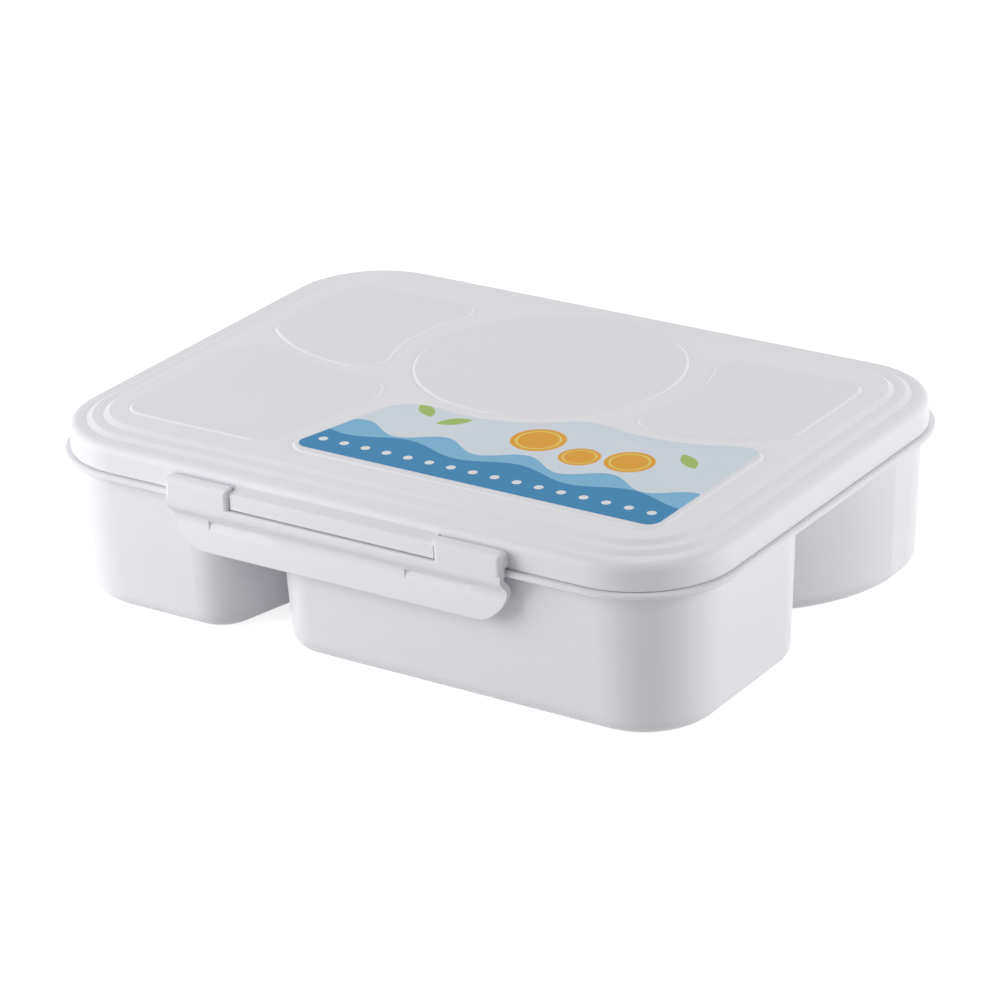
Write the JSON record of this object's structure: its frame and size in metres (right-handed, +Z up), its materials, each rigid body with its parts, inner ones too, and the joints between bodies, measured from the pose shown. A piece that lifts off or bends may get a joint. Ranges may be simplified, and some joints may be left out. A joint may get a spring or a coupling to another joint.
{
  "type": "lunch box",
  "caption": "Compartment lunch box with a hinged stepped lid, a wide front snap latch and a lidded soup bowl in its round compartment.",
  "frame": {"origin": "on the floor under the middle of the tray's flange", "axes": "+X along the length, -Y to the latch, +Z up"},
  "size_m": [0.275, 0.2158, 0.0694],
  "materials": {
    "white_plastic": "satin",
    "milky_plastic": "satin, milky",
    "seal_rubber": "matte, translucent white",
    "label_print": "printed sheet",
    "bowl_plastic": "satin"
  },
  "bodies": {
    "base": {"base_tray": "white_plastic", "soup_bowl": "bowl_plastic", "soup_bowl_lid": "milky_plastic", "soup_bowl_seal": "seal_rubber"},
    "lid": {"lid": "milky_plastic", "lid_seal": "seal_rubber", "lid_label": "label_print"},
    "latch": {"front_latch": "white_plastic"}
  },
  "joints": [
    {"name": "lid_hinge", "type": "hinge", "parent": "base", "child": "lid", "pos_m": [0, 0.1065, 0.0551], "axis": [-1, 0, 0], "range_deg": [0, 180]},
    {"name": "latch_hinge", "type": "hinge", "parent": "lid", "child": "latch", "pos_m": [0, -0.1036, 0.0608], "axis": [-1, 0, 0], "range_deg": [0, 180]}
  ]
}
